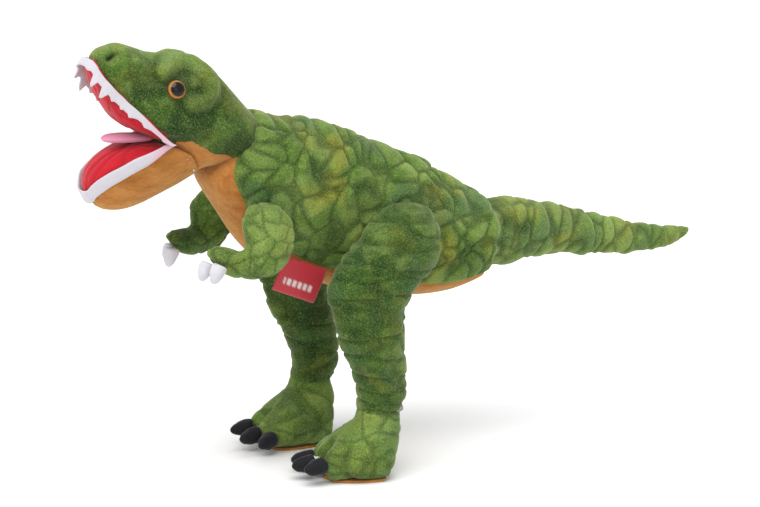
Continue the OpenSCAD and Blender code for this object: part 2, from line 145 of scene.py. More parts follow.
# %% Node helpers
class Finish:
    """A material under construction."""

    def __init__(self, name):
        self.mat = bpy.data.materials.new(name)
        self.mat.use_nodes = True
        self.tree = self.mat.node_tree
        self.shader = self.tree.nodes["Principled BSDF"]
        self.place = self.node("ShaderNodeTexCoord").outputs["Object"]

    def node(self, kind, **values):
        made = self.tree.nodes.new(kind)
        for key, value in values.items():
            setattr(made, key, value)
        return made

    def join(self, a, b):
        self.tree.links.new(a, b)

    def noise(self, size_mm, detail=3, rough=0.5, twist=0.0, stretch=None):
        n = self.node("ShaderNodeTexNoise")
        n.inputs["Scale"].default_value = 1000 / size_mm
        n.inputs["Detail"].default_value = detail
        n.inputs["Roughness"].default_value = rough
        n.inputs["Distortion"].default_value = twist
        place = self.place
        if stretch:
            m = self.node("ShaderNodeMapping")
            m.inputs["Scale"].default_value = stretch
            self.join(self.place, m.inputs["Vector"])
            place = m.outputs["Vector"]
        self.join(place, n.inputs["Vector"])
        return n.outputs["Fac"]

    def ramp(self, source, stops):
        r = self.node("ShaderNodeValToRGB")
        while len(r.color_ramp.elements) > 1:
            r.color_ramp.elements.remove(r.color_ramp.elements[-1])
        for i, (at, colour) in enumerate(stops):
            e = r.color_ramp.elements[0] if i == 0 else r.color_ramp.elements.new(at)
            e.position = at
            e.color = (*colour, 1) if len(colour) == 3 else colour
        self.join(source, r.inputs["Fac"])
        return r.outputs["Color"]

    def attribute(self, name):
        return self.node("ShaderNodeAttribute", attribute_name=name).outputs["Fac"]

    def mix(self, share, a, b, kind="MIX"):
        m = self.node("ShaderNodeMix", data_type="RGBA", blend_type=kind)
        for source, key in ((share, 0), (a, 6), (b, 7)):
            if isinstance(source, (int, float)):
                m.inputs[key].default_value = source
            elif isinstance(source, tuple):
                m.inputs[key].default_value = (*source, 1)
            else:
                self.join(source, m.inputs[key])
        return m.outputs[2]

    def sum(self, kind, a, b):
        m = self.node("ShaderNodeMath", operation=kind)
        for i, source in enumerate((a, b)):
            if isinstance(source, (int, float)):
                m.inputs[i].default_value = source
            else:
                self.join(source, m.inputs[i])
        return m.outputs[0]

    def bump(self, height, depth_mm, before=None, strength=1.0):
        b = self.node("ShaderNodeBump")
        b.inputs["Strength"].default_value = strength
        b.inputs["Distance"].default_value = depth_mm * MM
        self.join(height, b.inputs["Height"])
        if before is not None:
            self.join(before, b.inputs["Normal"])
        return b.outputs["Normal"]

    def done(self, colour, rough, normal=None, sheen=0.0, sheen_rough=0.5, tint=(1, 1, 1), gloss=None):
        self.join(colour, self.shader.inputs["Base Color"])
        if isinstance(rough, (int, float)):
            self.shader.inputs["Roughness"].default_value = rough
        else:
            self.join(rough, self.shader.inputs["Roughness"])
        self.shader.inputs["Sheen Weight"].default_value = sheen
        self.shader.inputs["Sheen Roughness"].default_value = sheen_rough
        self.shader.inputs["Sheen Tint"].default_value = (*tint, 1)
        if gloss is not None:
            self.shader.inputs["Specular IOR Level"].default_value = gloss
        if normal is not None:
            self.join(normal, self.shader.inputs["Normal"])
        return self.mat


print("node helpers ready")

# %% [markdown]
# ## The plush
# The green cloth is a short pile printed in soft blots of dark, mid and pale green, with yellow
# and blue-green patches. The pile shows as fine speckle and a pale edge where the surface turns
# away. The throat and belly are plain orange plush, brushed along the body, so one tree holds
# both, and a value stored on the cover says which cloth each point is cut from. Other stored values
# add painted shade in grooves, seams and on shaded sides, and painted light on lit tops.

# %% Green and orange plush in one finish
# DEEP is the darkest print and also the painted shade in creases, on the low head sides and on the legs.
DEEP, DARK, MID, PALE = (0.009, 0.032, 0.005), (0.026, 0.076, 0.010), (0.078, 0.158, 0.020), (0.200, 0.290, 0.066)
YELLOW, TEAL, MOSS = (0.360, 0.330, 0.035), (0.028, 0.120, 0.085), (0.125, 0.135, 0.014)
# The second orange is the darker brushed pile, and also the painted shade in creases on the orange cloth.
ORANGE, DARK_ORANGE = (0.520, 0.215, 0.055), (0.360, 0.120, 0.022)


def plush(name="printed_plush"):
    f = Finish(name)
    blots = f.ramp(f.noise(34, 4, 0.55, 0.4),
                   [(0.34, DARK), (0.45, MID), (0.54, MID), (0.64, PALE), (0.78, PALE)])
    small = f.noise(9, 3, 0.6, 0.6)
    green_print_and_shade = f.mix(f.ramp(small, [(0.42, (0, 0, 0)), (0.72, (0.55, 0.55, 0.55))]), blots, DARK)
    green_print_and_shade = f.mix(f.ramp(small, [(0.25, (0.5, 0.5, 0.5)), (0.48, (0, 0, 0))]), green_print_and_shade, PALE)
    green_print_and_shade = f.mix(f.sum("MULTIPLY", f.attribute("yellow"), 0.9), green_print_and_shade, f.mix(small, YELLOW, MOSS))
    green_print_and_shade = f.mix(f.sum("MULTIPLY", f.attribute("teal"), 0.85), green_print_and_shade, f.mix(small, TEAL, DARK))
    # Paler print on the body and tail, and painted light on the top of the head, the brow roll and the left arm.
    green_print_and_shade = f.mix(f.attribute("pale"), green_print_and_shade, PALE)
    # Darker print blots, and painted shade on the lower sides of the head and all over the legs.
    green_print_and_shade = f.mix(f.attribute("dusk"), green_print_and_shade, DEEP)
    # Painted shade in grooves, seams, folds and under the brow.
    green_print_and_shade = f.mix(f.sum("MULTIPLY", f.attribute("crease"), 0.62), green_print_and_shade, DEEP)
    brushed = f.noise(4, 4, 0.65, 0.6, (0.22, 1, 0.6))
    tan = f.mix(f.ramp(brushed, [(0.35, (0, 0, 0)), (0.65, (1, 1, 1))]), ORANGE, DARK_ORANGE)
    tan = f.mix(f.ramp(f.noise(22, 3, 0.5, 0.2), [(0.35, (0, 0, 0)), (0.75, (0.4, 0.4, 0.4))]), tan, (0.60, 0.29, 0.09))
    # Painted shade in the creases of the orange cloth too.
    tan = f.mix(f.sum("MULTIPLY", f.attribute("crease"), 0.5), tan, DARK_ORANGE)
    edge = f.sum("ADD", f.attribute("cut"), f.sum("MULTIPLY", f.sum("SUBTRACT", f.noise(2.2, 2), 0.5), 0.5))
    is_green = f.ramp(edge, [(0.47, (0, 0, 0)), (0.53, (1, 1, 1))])
    pile = f.noise(1.1, 3, 0.7)
    tufts = f.noise(3.0, 3, 0.6, 0.5)
    green_print_and_shade = f.mix(f.ramp(pile, [(0.36, (0.55, 0.55, 0.55)), (0.52, (0, 0, 0))]), green_print_and_shade,
                   f.mix(0.55, green_print_and_shade, (0.0, 0.0, 0.0)))
    green_print_and_shade = f.mix(f.ramp(pile, [(0.50, (0, 0, 0)), (0.70, (0.42, 0.42, 0.42))]), green_print_and_shade,
                   f.mix(0.35, green_print_and_shade, (0.72, 0.80, 0.36)))
    hairs = f.noise(1.3, 3, 0.7, 0.4, (0.3, 1, 0.7))
    tan = f.mix(f.ramp(hairs, [(0.34, (0.30, 0.30, 0.30)), (0.60, (0, 0, 0))]), tan, f.mix(0.4, tan, (0.0, 0.0, 0.0)))
    cloth = f.mix(is_green, tan, green_print_and_shade)
    # Painted shadow, near black, in the sewn-shut nostril slit.
    cloth = f.mix(f.attribute("hole"), cloth, (0.006, 0.007, 0.004))
    normal = f.bump(pile, 0.45, strength=0.7)
    normal = f.bump(tufts, 0.9, normal, 0.6)
    return f.done(cloth, 0.95, normal, sheen=0.42, sheen_rough=0.45, tint=(0.80, 0.90, 0.50), gloss=0.10)


PLUSH = plush()
print("plush finish ready")

# %% [markdown]
# ## Felt, lining, claws, tape and fibre
# The gums and teeth are cut from white felt that turns pink near the corner of the mouth. The
# mouth is lined with a smooth red cloth. Claws are tight little cones of white or black cloth.

# %% The other cloths
def felt(name, low, high, blush=None):
    f = Finish(name)
    fibres = f.noise(0.9, 5, 0.75, 1.2)
    colour = f.mix(fibres, low, high)
    if blush:
        colour = f.mix(f.attribute("blush"), colour, blush)
    colour = f.mix(f.ramp(f.noise(6, 3), [(0.4, (0, 0, 0)), (0.8, (0.25, 0.25, 0.25))]), colour, low)
    normal = f.bump(fibres, 0.25, strength=0.6)
    normal = f.bump(f.noise(4, 2), 0.5, normal, 0.4)
    return f.done(colour, 0.9, normal, sheen=0.3, sheen_rough=0.6, gloss=0.2)


def lining(name, low, high, fold):
    f = Finish(name)
    weave = f.node("ShaderNodeTexVoronoi")
    weave.inputs["Scale"].default_value = 1000 / 0.8
    f.join(f.place, weave.inputs["Vector"])
    colour = f.mix(f.noise(14, 3, 0.5, 0.3), low, high)
    colour = f.mix(f.ramp(weave.outputs["Distance"], [(0.2, (0, 0, 0)), (0.9, (0.3, 0.3, 0.3))]), colour, low)
    # Painted shade in folds and seams: the cloth darkens towards the fold colour.
    colour = f.mix(f.sum("MULTIPLY", f.attribute("crease"), 0.6), colour, fold)
    normal = f.bump(weave.outputs["Distance"], 0.12, strength=0.5)
    normal = f.bump(f.noise(7, 3, 0.5, 0.5), 0.8, normal, 0.5)
    return f.done(colour, 0.75, normal, sheen=0.35, sheen_rough=0.4, tint=(1, 0.7, 0.7), gloss=0.25)


WHITE_FELT = felt("white_felt", (0.46, 0.44, 0.48), (0.66, 0.64, 0.67), (0.66, 0.36, 0.44))
PINK_FELT = felt("pink_felt", (0.66, 0.24, 0.38), (0.76, 0.33, 0.46))
# The last colour of each lining is its painted shade in folds and seams.
RED_LINING = lining("red_lining", (0.42, 0.003, 0.012), (0.60, 0.006, 0.022), (0.16, 0.002, 0.006))
WHITE_CLAW = felt("white_claw_cloth", (0.50, 0.49, 0.53), (0.68, 0.67, 0.70))
BLACK_CLAW = lining("black_claw_cloth", (0.004, 0.004, 0.005), (0.012, 0.012, 0.015), (0.002, 0.002, 0.002))
BLACK_CLAW.node_tree.nodes["Principled BSDF"].inputs["Sheen Tint"].default_value = (0.6, 0.6, 0.7, 1)
FIBRE = felt("filling_fibre", (0.74, 0.74, 0.70), (0.92, 0.92, 0.90))
WASHER = felt("washer_plastic", (0.020, 0.020, 0.020), (0.035, 0.035, 0.035))


def tape(name):
    f = Finish(name)
    threads = f.node("ShaderNodeTexWave", bands_direction="X")
    threads.inputs["Scale"].default_value = 450
    threads.inputs["Distortion"].default_value = 0.4
    f.join(f.place, threads.inputs["Vector"])
    across = f.node("ShaderNodeTexWave", bands_direction="Z")
    across.inputs["Scale"].default_value = 420
    f.join(f.place, across.inputs["Vector"])
    weave = f.sum("MULTIPLY", threads.outputs["Fac"], across.outputs["Fac"])
    colour = f.mix(weave, (0.42, 0.012, 0.022), (0.66, 0.030, 0.050))
    colour = f.mix(f.attribute("motif"), colour, (0.72, 0.62, 0.60))
    return f.done(colour, 0.42, f.bump(weave, 0.15, strength=0.6), sheen=0.2, gloss=0.5)


TAPE = tape("woven_tape")
print("all cloths ready")

# %% [markdown]
# ## From cut cloth to a stuffed form
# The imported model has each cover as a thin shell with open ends. For a padded look it is easier
# to work on one closed form, so the outer faces of the cloths that make up a part are copied,
# welded along their seams and closed at the ends. A face is an outer one if it looks away from
# the line that runs through the middle of the part.

# %% Closed forms from the cloths
def nearest_on(line, p):
    best = None
    for a, b in zip(line, line[1:]):
        ab = b - a
        t = max(0.0, min(1.0, (p - a).dot(ab) / ab.length_squared))
        q = a + ab * t
        d = (p - q).length
        if best is None or d < best[0]:
            best = (d, q)
    return best[1]


def outer_form(mesh_nodes, line):
    """The outer faces of some cloths as one closed bmesh. line runs through the middle, in mm."""
    line = [Vector(p) * MM for p in line]
    bm = bmesh.new()
    for name in mesh_nodes:
        bm.from_mesh(nodes[name].data)
    bmesh.ops.remove_doubles(bm, verts=bm.verts, dist=WELD)
    bm.normal_update()
    inner = []
    for face in bm.faces:
        c = face.calc_center_median()
        away = c - nearest_on(line, c)
        if away.length < 1e-6 or face.normal.dot(away.normalized()) < 0.3:
            inner.append(face)
    bmesh.ops.delete(bm, geom=inner, context="FACES")
    bmesh.ops.delete(bm, geom=[v for v in bm.verts if not v.link_faces], context="VERTS")
    bmesh.ops.remove_doubles(bm, verts=bm.verts, dist=0.7 * MM)
    bmesh.ops.holes_fill(bm, edges=bm.edges, sides=0)
    bmesh.ops.triangulate(bm, faces=[f for f in bm.faces if len(f.verts) > 4])
    bmesh.ops.recalc_face_normals(bm, faces=bm.faces)
    return bm


def to_object(name, forms):
    """Joins closed forms into one new object."""
    mesh = bpy.data.meshes.new(name)
    whole = bmesh.new()
    for bm in forms:
        part = bpy.data.meshes.new("part")
        bm.to_mesh(part)
        bm.free()
        whole.from_mesh(part)
        bpy.data.meshes.remove(part)
    whole.to_mesh(mesh)
    whole.free()
    obj = bpy.data.objects.new(name, mesh)
    bpy.context.scene.collection.objects.link(obj)
    return obj


def own_copy(source, name):
    """A new object with its own copy of the mesh, and none of the source's notes."""
    obj = source.copy()
    obj.data = source.data.copy()
    obj.parent = None
    obj.name = name
    for key in list(obj.keys()):
        del obj[key]
    bpy.context.scene.collection.objects.link(obj)
    return obj


def copy_node(node, name):
    """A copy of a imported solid, with its loose triangles welded."""
    obj = own_copy(nodes[node], name)
    bm = bmesh.new()
    bm.from_mesh(obj.data)
    bmesh.ops.remove_doubles(bm, verts=bm.verts, dist=WELD)
    bm.to_mesh(obj.data)
    bm.free()
    return obj


def use(obj, kind, **settings):
    """Adds a modifier and applies it."""
    choose(obj)
    modifier = obj.modifiers.new(kind.lower(), kind)
    for key, value in settings.items():
        setattr(modifier, key, value)
    bpy.ops.object.modifier_apply(modifier=modifier.name)


def places(obj):
    co = np.empty(len(obj.data.vertices) * 3, np.float64)
    obj.data.vertices.foreach_get("co", co)
    return co.reshape(-1, 3)


def directions(obj):
    n = np.empty(len(obj.data.vertices) * 3, np.float64)
    obj.data.vertices.foreach_get("normal", n)
    return n.reshape(-1, 3)


def move_to(obj, co):
    obj.data.vertices.foreach_set("co", co.ravel())
    obj.data.update()


def stuff(obj, voxel, cap, smooth=6, shrink=1.5, pressure=4):
    """Even quads, then the cloth swells under the pressure of its filling, by no more than cap."""
    choose(obj)
    obj.data.remesh_voxel_size = voxel * MM
    obj.data.remesh_voxel_adaptivity = 0
    bpy.ops.object.voxel_remesh()
    use(obj, "SMOOTH", factor=0.5, iterations=smooth)
    if cap == 0:
        return
    move_to(obj, places(obj) - directions(obj) * shrink * MM)
    before = places(obj)
    cloth = obj.modifiers.new("filling", "CLOTH")
    cloth.settings.use_pressure = True
    cloth.settings.uniform_pressure_force = pressure
    cloth.settings.effector_weights.gravity = 0
    cloth.point_cache.frame_end = 20
    for number in range(1, 21):
        bpy.context.scene.frame_set(number)
    choose(obj)
    bpy.ops.object.modifier_apply(modifier=cloth.name)
    bpy.context.scene.frame_set(1)
    move = places(obj) - before
    length = np.linalg.norm(move, axis=1, keepdims=True)
    move *= np.minimum(1, cap * MM / np.maximum(length, 1e-9))
    move_to(obj, before + move)
    use(obj, "SMOOTH", factor=0.5, iterations=2)


def store(obj, name, values):
    layer = obj.data.attributes.get(name) or obj.data.attributes.new(name, "FLOAT", "POINT")
    layer.data.foreach_set("value", np.clip(values, 0, 1).astype(np.float32))


def tree_of(names):
    bm = bmesh.new()
    for name in names:
        bm.from_mesh(nodes[name].data)
    tree = BVHTree.FromBMesh(bm)
    bm.free()
    return tree


def cut_line(obj, green, orange, lower=0):
    """1 on green cloth, 0 on orange, and in between over 4 mm at the seam."""
    a, b = tree_of(green), tree_of(orange)
    co = places(obj)
    chest = smooth_step(-co[:, 0] * 1000, 140, 152) * smooth_step(co[:, 2] * 1000, 195, 215)
    gap = np.array([b.find_nearest(Vector(p))[3] - a.find_nearest(Vector(p))[3] for p in co])
    gap += (lower - (10 + lower) * chest * (lower > 0)) * MM
    value = np.clip(gap / (4 * MM) + 0.5, 0, 1)
    store(obj, "cut", value)
    return gap


print("helpers for stuffed forms ready")

# %% [markdown]
# ## Scales pressed into the plush
# The back and sides are pressed with rounded scales, about a thumb's width each, with grooves
# between them that carry painted shade. Cells around scattered points give such a pattern.
# Stretching the cells in one direction turns them into rings on the tail and wrinkles on the legs.

# %% Press cells into a cover
def smooth_step(x, a, b):
    t = np.clip((x - a) / (b - a), 0, 1)
    return t * t * (3 - 2 * t)


def cells(co, size, warp=0.25, turn=0.0, shift=0.0):
    """For each point: how far it is from the groove between two cells, in cell widths."""
    c, s = math.cos(turn), math.sin(turn)
    out = np.empty(len(co))
    for i, (x, y, z) in enumerate(co):
        y = abs(y)
        p = Vector(((c * x - s * z) / size[0], y / size[1], (s * x + c * z) / size[2])) * 1000
        p += noise.noise_vector(p * 0.7) * warp * 2 + Vector((shift, shift, shift))
        d = noise.voronoi(p)[0]
        out[i] = d[1] - d[0]
    return out


def blots(co, size_mm, seed):
    """Soft noise from 0 to 1."""
    shift = Vector((seed * 7.3, seed * 3.1, seed * 5.7))
    return np.array([noise.fractal(Vector(p) * 1000 / size_mm + shift, 1.0, 2.0, 3) for p in co]) * 0.5 + 0.5


def press(obj, edge, depth, dome, where=1.0, width=0.22):
    """Sinks the grooves and raises the middles of the cells; gives back the grooves as a mask for painted shade."""
    groove = 1 - smooth_step(edge, 0.0, width)
    rise = smooth_step(edge, 0.05, 0.7)
    move_to(obj, places(obj) + directions(obj) * ((rise * dome - groove * depth) * where * MM)[:, None])
    return groove * where


def refine(obj, levels=1):
    use(obj, "SUBSURF", levels=levels, render_levels=levels)
    choose(obj)
    bpy.ops.object.shade_smooth()


def near_line(co, line, sides=True):
    """Distance in mm from each point to a line of (x, z) or (x, y, z) points."""
    pts = np.array(line, float)
    q = co * 1000
    if pts.shape[1] == 2:
        q = q[:, [0, 2]]
    elif sides:
        q = np.column_stack([q[:, 0], np.abs(q[:, 1]), q[:, 2]])
    best = np.full(len(q), 1e9)
    for a, b in zip(pts, pts[1:]):
        ab = b - a
        t = np.clip(((q - a) @ ab) / max(ab @ ab, 1e-9), 0, 1)
        best = np.minimum(best, np.linalg.norm(q - (a + t[:, None] * ab), axis=1))
    return best


def bell(d, width):
    return np.exp(-(d / width) ** 2)


print("pattern helpers ready")

# %% [markdown]
# ## Body and tail
# Body and tail are made as one long stuffed form first, so the cloth runs on without a step, and
# then cut into three pieces.

# %% Stuff the body and the tail together
body = to_object("body_and_tail", [
    outer_form(["torso_skin", "belly_panel"],
               [(-165, 0, 272), (-110, 0, 228), (-40, 0, 200), (20, 0, 180), (95, 0, 160)]),
    outer_form(["tail_base_skin"], [(60, 0, 168), (100, 0, 166), (190, 0, 154)]),
    outer_form(["tail_tip_skin"], [(165, 0, 156), (222, 0, 146), (259, 0, 147)]),
])
stuff(body, 3.4, 3.5, smooth=8)
refine(body)
co = places(body)
gap = cut_line(body, ["torso_skin", "tail_base_skin", "tail_tip_skin"], ["belly_panel"], 3)
x, z = co[:, 0] * 1000, co[:, 2] * 1000
chest = smooth_step(-x, 138, 158) * bell(z - 237, 20)
move_to(body, co - np.outer(chest * 13 * MM, (1, 0, 0)))
co = places(body)
on_green = smooth_step(gap * 1000, 1.0, 5.0)
tail = smooth_step(x, 55, 95)
edge = cells(co, (18.5, 30, 19), 0.35, 0.3) * (1 - tail) + cells(co, (14, 40, 30), 0.25, 0.25) * tail
crease = press(body, edge, 1.4, 1.3, on_green * (1 - 0.4 * smooth_step(x, 180, 250)), 0.26)
seam = bell(gap * 1000, 1.6)
move_to(body, places(body) - directions(body) * (seam * 0.9 * MM)[:, None])
# Painted shade in the scale grooves and along the seam, and on the orange belly in wrinkle lines that are only painted.
wrinkle = (1 - on_green) * (1 - smooth_step(cells(co, (18, 30, 9), 0.4), 0, 0.3))
store(body, "crease", np.maximum.reduce([crease, seam * 0.7, wrinkle * 0.5]))
rings = 0.5 + 0.5 * np.sin(x / 9.5 + 1.3 * np.sin(z / 17))
patch = blots(co, 38, 1)
store(body, "pale", 0.15 + 0.25 * tail + 0.40 * smooth_step(blots(co, 30, 14), 0.40, 0.62))
store(body, "yellow", smooth_step(patch, 0.53, 0.70) * 0.85 + tail * smooth_step(rings, 0.62, 0.95) * 0.75)
cool = blots(co, 46, 4)
store(body, "teal", smooth_step(cool, 0.56, 0.74) * 0.7 + tail * smooth_step(1 - rings, 0.70, 1.0) * 0.6)
spot = bell(np.hypot(x - 92, (z - 172) * 1.4), 9) * (np.abs(co[:, 1]) > 0.008)
store(body, "dusk", spot * 0.75 + 0.35 * smooth_step(blots(co, 30, 9), 0.62, 0.8))
print(len(body.data.vertices), "points on body and tail")

# %% Cut the three pieces apart
def cut_piece(source, name, low, high):
    """A copy of source between two planes across X, with flat closed ends."""
    piece = own_copy(source, name)
    for at, keep_above in ((low, True), (high, False)):
        if at is None:
            continue
        choose(piece)
        bpy.ops.object.mode_set(mode="EDIT")
        bpy.ops.mesh.select_all(action="SELECT")
        bpy.ops.mesh.bisect(plane_co=(at * MM, 0, 0), plane_no=(1, 0, 0), use_fill=True,
                            clear_inner=keep_above, clear_outer=not keep_above)
        bpy.ops.object.mode_set(mode="OBJECT")
    for face in piece.data.polygons:
        if len(face.vertices) > 8:
            face.use_smooth = False
    return piece


torso = cut_piece(body, "torso_cover", None, 76)
tail_base = cut_piece(body, "tail_base_cover", 76, 166)
tail_tip = cut_piece(body, "tail_tip_cover", 166, None)
bpy.data.objects.remove(body)


def finish_cover(obj, material, hidden):
    obj.data.materials.clear()
    obj.data.materials.append(material)
    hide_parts(*hidden)
    print(obj.name, len(obj.data.polygons), "faces")


def core_of(cover, node, *bodies, inset=3.5):
    """The fibre inside a cover: the cover again, coarser and inset mm further in.

    It rides one body; given more than one, it stays where it is.
    """
    core = own_copy(cover, cover.name.replace("_cover", "_stuffing"))
    use(core, "SMOOTH", factor=0.5, iterations=10)
    use(core, "DECIMATE", ratio=0.2)
    bm = bmesh.new()
    bm.from_mesh(cover.data)
    skin = BVHTree.FromBMesh(bm)
    bm.free()
    inner = []
    for point in places(core):
        near, normal = skin.find_nearest(Vector(point))[:2]
        inner.append(near - normal * inset * MM)
    move_to(core, np.array(inner))
    use(core, "SMOOTH", factor=0.5, iterations=2)
    core.data.materials.clear()
    core.data.materials.append(FIBRE)
    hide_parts(node)
    if len(bodies) == 1:
        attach(core, *bodies)
    else:
        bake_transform(core)


finish_cover(torso, PLUSH, ["torso_skin", "belly_panel"])
core_of(torso, "torso_filling", "torso", inset=6)
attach(torso, "torso")
for tail, name, follow in (
        (tail_base, "tail_base", ("torso", "tail_base", (0.076, 0, 0.166), (0.108, 0, 0.162))),
        (tail_tip, "tail_tip", ("tail_base", "tail_tip", (0.166, 0, 0.155), (0.190, 0, 0.150)))):
    finish_cover(tail, PLUSH, [name + "_skin"])
    core_of(tail, name + "_filling", *follow)
    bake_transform(tail)

# %% [markdown]
# ## Head
# The head is one stuffed cover from snout to neck seam. The brow is a pinched roll of cloth that
# curls round behind the eye into a cheek pad. The nostril is a short slit, sewn shut.

# %% Stuff and shape the head
head = to_object("head_cover", [outer_form(
    ["head_skin", "throat_panel", "palate_lining"],
    [(-248, 0, 327), (-236, 0, 322), (-210, 0, 302), (-180, 0, 290), (-160, 0, 272), (-138, 0, 256)])])
stuff(head, 3.2, 2.5, smooth=6)
refine(head)
co = places(head)
gap = cut_line(head, ["head_skin"], ["throat_panel", "palate_lining"])
snout = smooth_step(-co[:, 0] * 1000, 196, 200) * smooth_step(co[:, 2] * 1000, 260, 263)
store(head, "cut", np.maximum(np.clip(gap / (4 * MM) + 0.5, 0, 1), snout))
side = smooth_step(np.abs(co[:, 1]) * 1000, 8, 16)
brow = near_line(co, [(-204, 315), (-197, 320), (-190, 322.5), (-180, 320), (-172, 313), (-167, 305), (-170, 297),
                      (-178, 292), (-187, 292)])
pad = near_line(co, [(-178, 309), (-174, 303)])
socket = near_line(co, [(-195.7, 303.5), (-195.3, 303.5)])
nostril = [(-246, -13, 327), (-241, -13, 330), (-235, -13.5, 332)]
slit = np.minimum(near_line(co, nostril, sides=False), near_line(co * np.array([1, -1, 1]), nostril, sides=False))
brow_side = smooth_step(np.abs(co[:, 1]) * 1000, 3, 10)
shape = brow_side * (4.6 * bell(brow, 4.4) - 1.6 * bell(brow - 9, 2.4))
shape += side * (2.6 * bell(pad, 8) - 1.2 * bell(socket, 7.0))
shape -= 3.6 * bell(slit, 2.6)
shape += 1.3 * bell(slit, 7)
fold = side * bell(near_line(co, [(-163, 307), (-165, 296), (-171, 288)]), 2.5)
neck_roll = bell(near_line(co, [(-146, 285), (-156, 274), (-166, 262), (-170, 254)]), 5)
shape += side * 0.9 * neck_roll - 1.2 * fold
edge = cells(co, (26, 30, 24), 0.4, shift=3.0)
move_to(head, co + directions(head) * ((shape + 0.5 * smooth_step(edge, 0, 0.5)) * MM)[:, None])
seam = bell(gap * 1000, 1.4)
# Painted shade under the brow roll, in the groove beside it, in the fold behind the cheek pad, along the seam and in
# the cell grooves.
under_brow = side * bell(near_line(co, [(-203, 309), (-198, 313), (-190, 315), (-183, 311), (-181, 303),
                                        (-186, 297)]), 2.6)
store(head, "crease", np.maximum.reduce([0.45 * (1 - smooth_step(edge, 0, 0.16)), seam * 0.7, fold * 0.8,
                                         0.75 * under_brow, brow_side * 0.8 * bell(brow - 9, 2.2)]))
# Painted shadow in the nostril slit.
store(head, "hole", bell(slit, 2.3) * 1.3)
# Painted shade on the lower sides of the head, and darker print blots away from the brow.
low_side_shade = side * (1 - smooth_step(co[:, 2] * 1000, 300, 325))
store(head, "dusk", 0.40 * low_side_shade + 0.45 * smooth_step(blots(co, 30, 12), 0.50, 0.7) * (brow > 6))
# Painted light on the brow roll and on the top of the head.
store(head, "pale", 0.5 * brow_side * bell(brow, 5) + 0.25 * smooth_step(co[:, 2] * 1000, 315, 330))
store(head, "yellow", smooth_step(blots(co, 30, 6), 0.60, 0.76) * 0.4 + side * bell(brow, 4.5) * 0.22)
store(head, "teal", smooth_step(blots(co, 34, 8), 0.58, 0.74) * 0.45)
finish_cover(head, PLUSH, ["head_skin", "throat_panel"])
follow = ("torso", "head", (-0.142, 0, 0.257), (-0.172, 0, 0.279))
core_of(head, "head_filling", *follow, inset=6)
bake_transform(head)

# %% [markdown]
# ## Lower jaw and the red lining
# The lower jaw is a stuffed scoop of orange plush. The lining of both jaws is a red cushion that
# swells out of the mouth between the gums, so it is made from the thin lining by pushing its
# visible side outwards, most in the middle.

# %% Jaw cover
jaw_form = outer_form(["jaw_skin", "jaw_lining"], [(-198, 0, 246), (-215, 0, 241), (-240, 0, 232), (-253, 0, 228)])
for v in jaw_form.verts:
    pull = smooth_step(np.array([v.co.x * 1000]), -212, -196)[0]
    v.co.x += 14 * MM * pull
    v.co.z += 4 * MM * pull
jaw = to_object("jaw_cover", [jaw_form])
stuff(jaw, 3.0, 2.0, smooth=4)
refine(jaw)
gap = cut_line(jaw, ["jaw_lining"], ["jaw_skin"])
store(jaw, "cut", np.zeros(len(jaw.data.vertices)))
co = places(jaw)
edge = cells(co, (30, 24, 16), 0.4)
# Painted shade along the lining seam and in cell grooves that are not pressed in.
store(jaw, "crease", np.maximum(bell(gap * 1000, 1.5) * 0.6, 0.3 * (1 - smooth_step(edge, 0, 0.12))))
finish_cover(jaw, PLUSH, ["jaw_skin"])
follow = ("head", "jaw", (-0.190, 0, 0.258), (-0.214, 0, 0.250))
core_of(jaw, "jaw_filling", *follow, inset=4)
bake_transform(jaw)

# %% Red cushions
def lining_cushion(node, name, body_name, up, height, middle):
    """A copy of a thin lining whose outer side swells by height mm along its own direction."""
    obj = copy_node(node, name)
    obj.hide_render = obj.hide_viewport = False
    choose(obj)
    obj.data.remesh_voxel_size = 1.3 * MM
    bpy.ops.object.voxel_remesh()
    use(obj, "SMOOTH", factor=0.5, iterations=4)
    co, n = places(obj), directions(obj)
    facing = smooth_step(n @ np.array(Vector(up).normalized()), -0.1, 0.5)
    tuck = 1 - 0.16 * smooth_step(co[:, 0] * 1000, -228, -208)
    co[:, 1] *= tuck
    width = np.array([np.abs(co[np.abs(co[:, 0] - px) < 0.004, 1]).max() for px in co[:, 0]])
    crown = np.sqrt(np.clip(1 - (co[:, 1] / np.maximum(width, 0.004)) ** 2, 0, 1))
    along = bell(co[:, 0] * 1000 - middle, 34)
    folds = cells(co, (34, 9, 30), 0.5)
    move = facing * crown * along * (height - 1.0 * (1 - smooth_step(folds, 0, 0.25)))
    move_to(obj, co + np.outer(move * MM, np.array(Vector(up).normalized())))
    use(obj, "SMOOTH", factor=0.4, iterations=2)
    # Painted shade in the folds of the red cushion.
    store(obj, "crease", facing * (1 - smooth_step(folds, 0, 0.2)) * 0.5)
    choose(obj)
    bpy.ops.object.shade_smooth()
    finish_cover(obj, RED_LINING, [node])
    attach(obj, body_name)


lining_cushion("palate_lining", "palate_cushion", "head", (-0.59, 0, -0.81), 4.5, -232)
lining_cushion("jaw_lining", "mouth_floor_cushion", "jaw", (-0.45, 0, 0.89), 5, -236)

# %% [markdown]
# ## Gums and teeth
# Each gum is one strip of felt whose free edge is cut into teeth, and it blushes pink towards the
# corner of the mouth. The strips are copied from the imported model, given finer faces, and pressed
# a little out of true, as soft felt always is.

